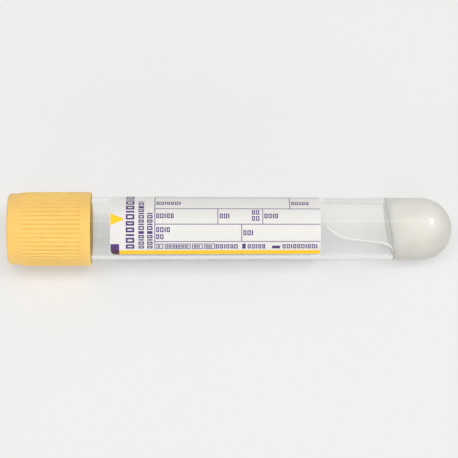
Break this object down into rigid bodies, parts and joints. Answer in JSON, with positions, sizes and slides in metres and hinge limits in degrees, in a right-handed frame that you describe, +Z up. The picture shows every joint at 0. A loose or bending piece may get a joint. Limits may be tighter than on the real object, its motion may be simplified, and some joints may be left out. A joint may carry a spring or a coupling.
{
  "type": "blood collection tube",
  "caption": "Clear round-bottomed blood collection tube lying on its side, with a ribbed gold pull-off closure, a white wrap-round label and separator gel in its base.",
  "frame": {"origin": "on the surface that the tube lies on, below the middle of its bounding box", "axes": "+X along the tube from its closure to its round bottom, leaning 1 degree down because the shield is wider than the tube; +Z up; the label's clear strip faces the front, -Y, and down"},
  "size_m": [0.1066, 0.0178, 0.0181],
  "materials": {
    "tube": "gloss",
    "gel": "satin",
    "label": "satin",
    "shield": "satin",
    "stopper": "matte"
  },
  "bodies": {
    "tube": {"tube": "tube", "label": "label", "gel": "gel"},
    "closure": {"shield": "shield", "stopper": "stopper"}
  },
  "joints": [
    {"name": "closure_pull", "type": "slide", "parent": "tube", "child": "closure", "axis": [-0.9999, 0, 0.0173], "range_m": [0, 0.03]}
  ]
}
